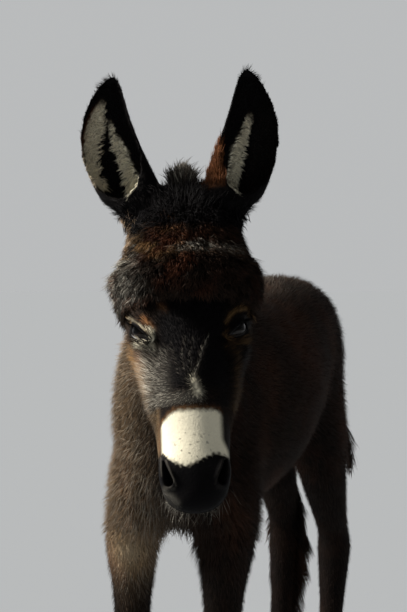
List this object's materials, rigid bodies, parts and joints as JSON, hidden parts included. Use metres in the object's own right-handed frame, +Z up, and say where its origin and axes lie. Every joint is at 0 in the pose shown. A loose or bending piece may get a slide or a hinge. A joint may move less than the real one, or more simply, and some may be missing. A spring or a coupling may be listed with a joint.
{
  "type": "miniature donkey foal",
  "caption": "Life-size standing miniature donkey foal with long upright ears, woolly brow, upright mane and tufted tail, head lowered and turned to its left.",
  "frame": {"origin": "on the floor, under the middle of the whole animal's box", "axes": "+Z up, -Y the way the body faces, +X the foal's left side"},
  "size_m": [0.2826, 0.8604, 0.9369],
  "materials": {
    "coat": "dark brown woolly hair",
    "long_hair": "blackish long coarse hair",
    "eye": "wet dark eye",
    "horn": "dull dark hoof horn"
  },
  "bodies": {
    "root": {"head": "coat", "neck": "coat", "torso": "coat", "tail": "long_hair", "ear_left": "coat", "ear_right": "coat", "eye_left": "eye", "eye_right": "eye", "foreleg_left": "coat", "foreleg_right": "coat", "hindleg_left": "coat", "hindleg_right": "coat", "hoof_fore_left": "horn", "hoof_fore_right": "horn", "hoof_hind_left": "horn", "hoof_hind_right": "horn"}
  },
  "joints": []
}
